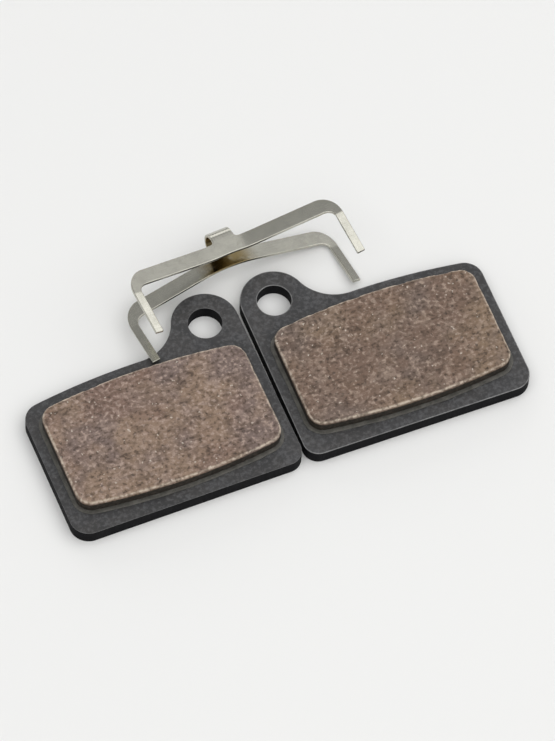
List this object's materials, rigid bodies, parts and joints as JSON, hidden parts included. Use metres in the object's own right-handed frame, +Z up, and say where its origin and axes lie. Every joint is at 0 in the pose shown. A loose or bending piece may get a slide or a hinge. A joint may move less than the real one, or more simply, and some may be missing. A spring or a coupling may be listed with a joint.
{
  "type": "brake pad set",
  "caption": "Disc brake pads for a bicycle caliper: mirrored pads of friction compound on pierced steel plates with pin tabs, and the folded return spring that spreads them.",
  "frame": {"origin": "on the surface that the set lies on, at the middle of the set's box", "axes": "+X along the two pads, from the left one to the right one; +Y from the pads to the spring; +Z up, out of the friction faces"},
  "size_m": [0.0606, 0.033, 0.0098],
  "materials": {
    "backing_plate": "satin black coat",
    "bond_layer": "dark cured adhesive",
    "left_friction_compound": "matt, granular, ground flat",
    "right_friction_compound": "matt, granular, ground flat",
    "spring_steel": "bright rolled strip"
  },
  "bodies": {
    "left_pad": {"left_backing_plate": "backing_plate", "left_bond_layer": "bond_layer", "left_friction_block": "left_friction_compound"},
    "right_pad": {"right_backing_plate": "backing_plate", "right_bond_layer": "bond_layer", "right_friction_block": "right_friction_compound"},
    "spring_base": {"spring_lower_leaf": "spring_steel"},
    "spring_top": {"spring_upper_leaf": "spring_steel"}
  },
  "joints": [
    {"name": "right_pad_slide", "type": "slide", "parent": "left_pad", "child": "right_pad", "axis": [0, 0, 1], "range_m": [0, 0.03]},
    {"name": "spring_lift", "type": "slide", "parent": "left_pad", "child": "spring_base", "axis": [0, 0, 1], "range_m": [0, 0.03]},
    {"name": "spring_squeeze", "type": "hinge", "parent": "spring_base", "child": "spring_top", "pos_m": [0.00052, 0.01615, 0.0048], "axis": [0.993, 0.1044, -0.0553], "range_deg": [0, 20], "stiffness_Nm_per_rad": 0.2}
  ]
}
